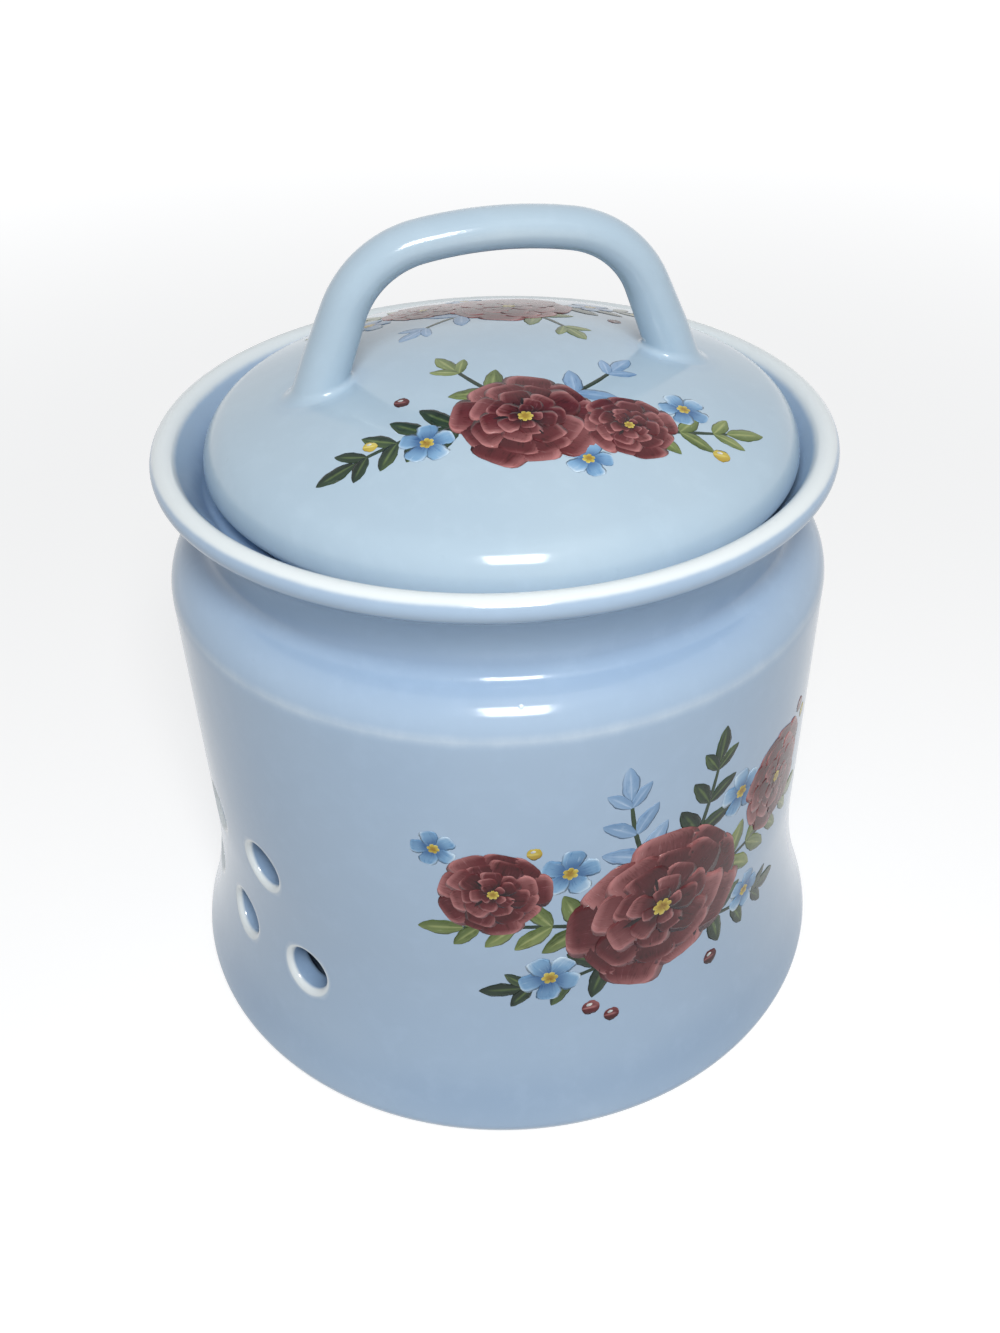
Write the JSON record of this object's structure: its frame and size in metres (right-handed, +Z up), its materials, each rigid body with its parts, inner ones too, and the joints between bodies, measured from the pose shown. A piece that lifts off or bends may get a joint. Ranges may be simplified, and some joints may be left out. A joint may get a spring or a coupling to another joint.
{
  "type": "garlic keeper",
  "caption": "Glazed stoneware jar with vent holes low in its wall, a flared foot, a rolled rim and a loose domed lid with an arched strap handle.",
  "frame": {"origin": "middle of the foot, on the surface that the jar stands on", "axes": "+Z up along the jar's axis; -Y is the front, where the vent holes are"},
  "size_m": [0.135, 0.135, 0.1534],
  "materials": {
    "jar_glaze": "glossy pale blue glaze",
    "lid_glaze": "glossy pale blue glaze"
  },
  "bodies": {
    "jar": {"jar": "jar_glaze"},
    "lid": {"lid": "lid_glaze", "lid_handle": "lid_glaze"}
  },
  "joints": [
    {"name": "lid_lift", "type": "slide", "parent": "jar", "child": "lid", "axis": [0, 0, 1], "range_m": [0, 0.06]}
  ]
}
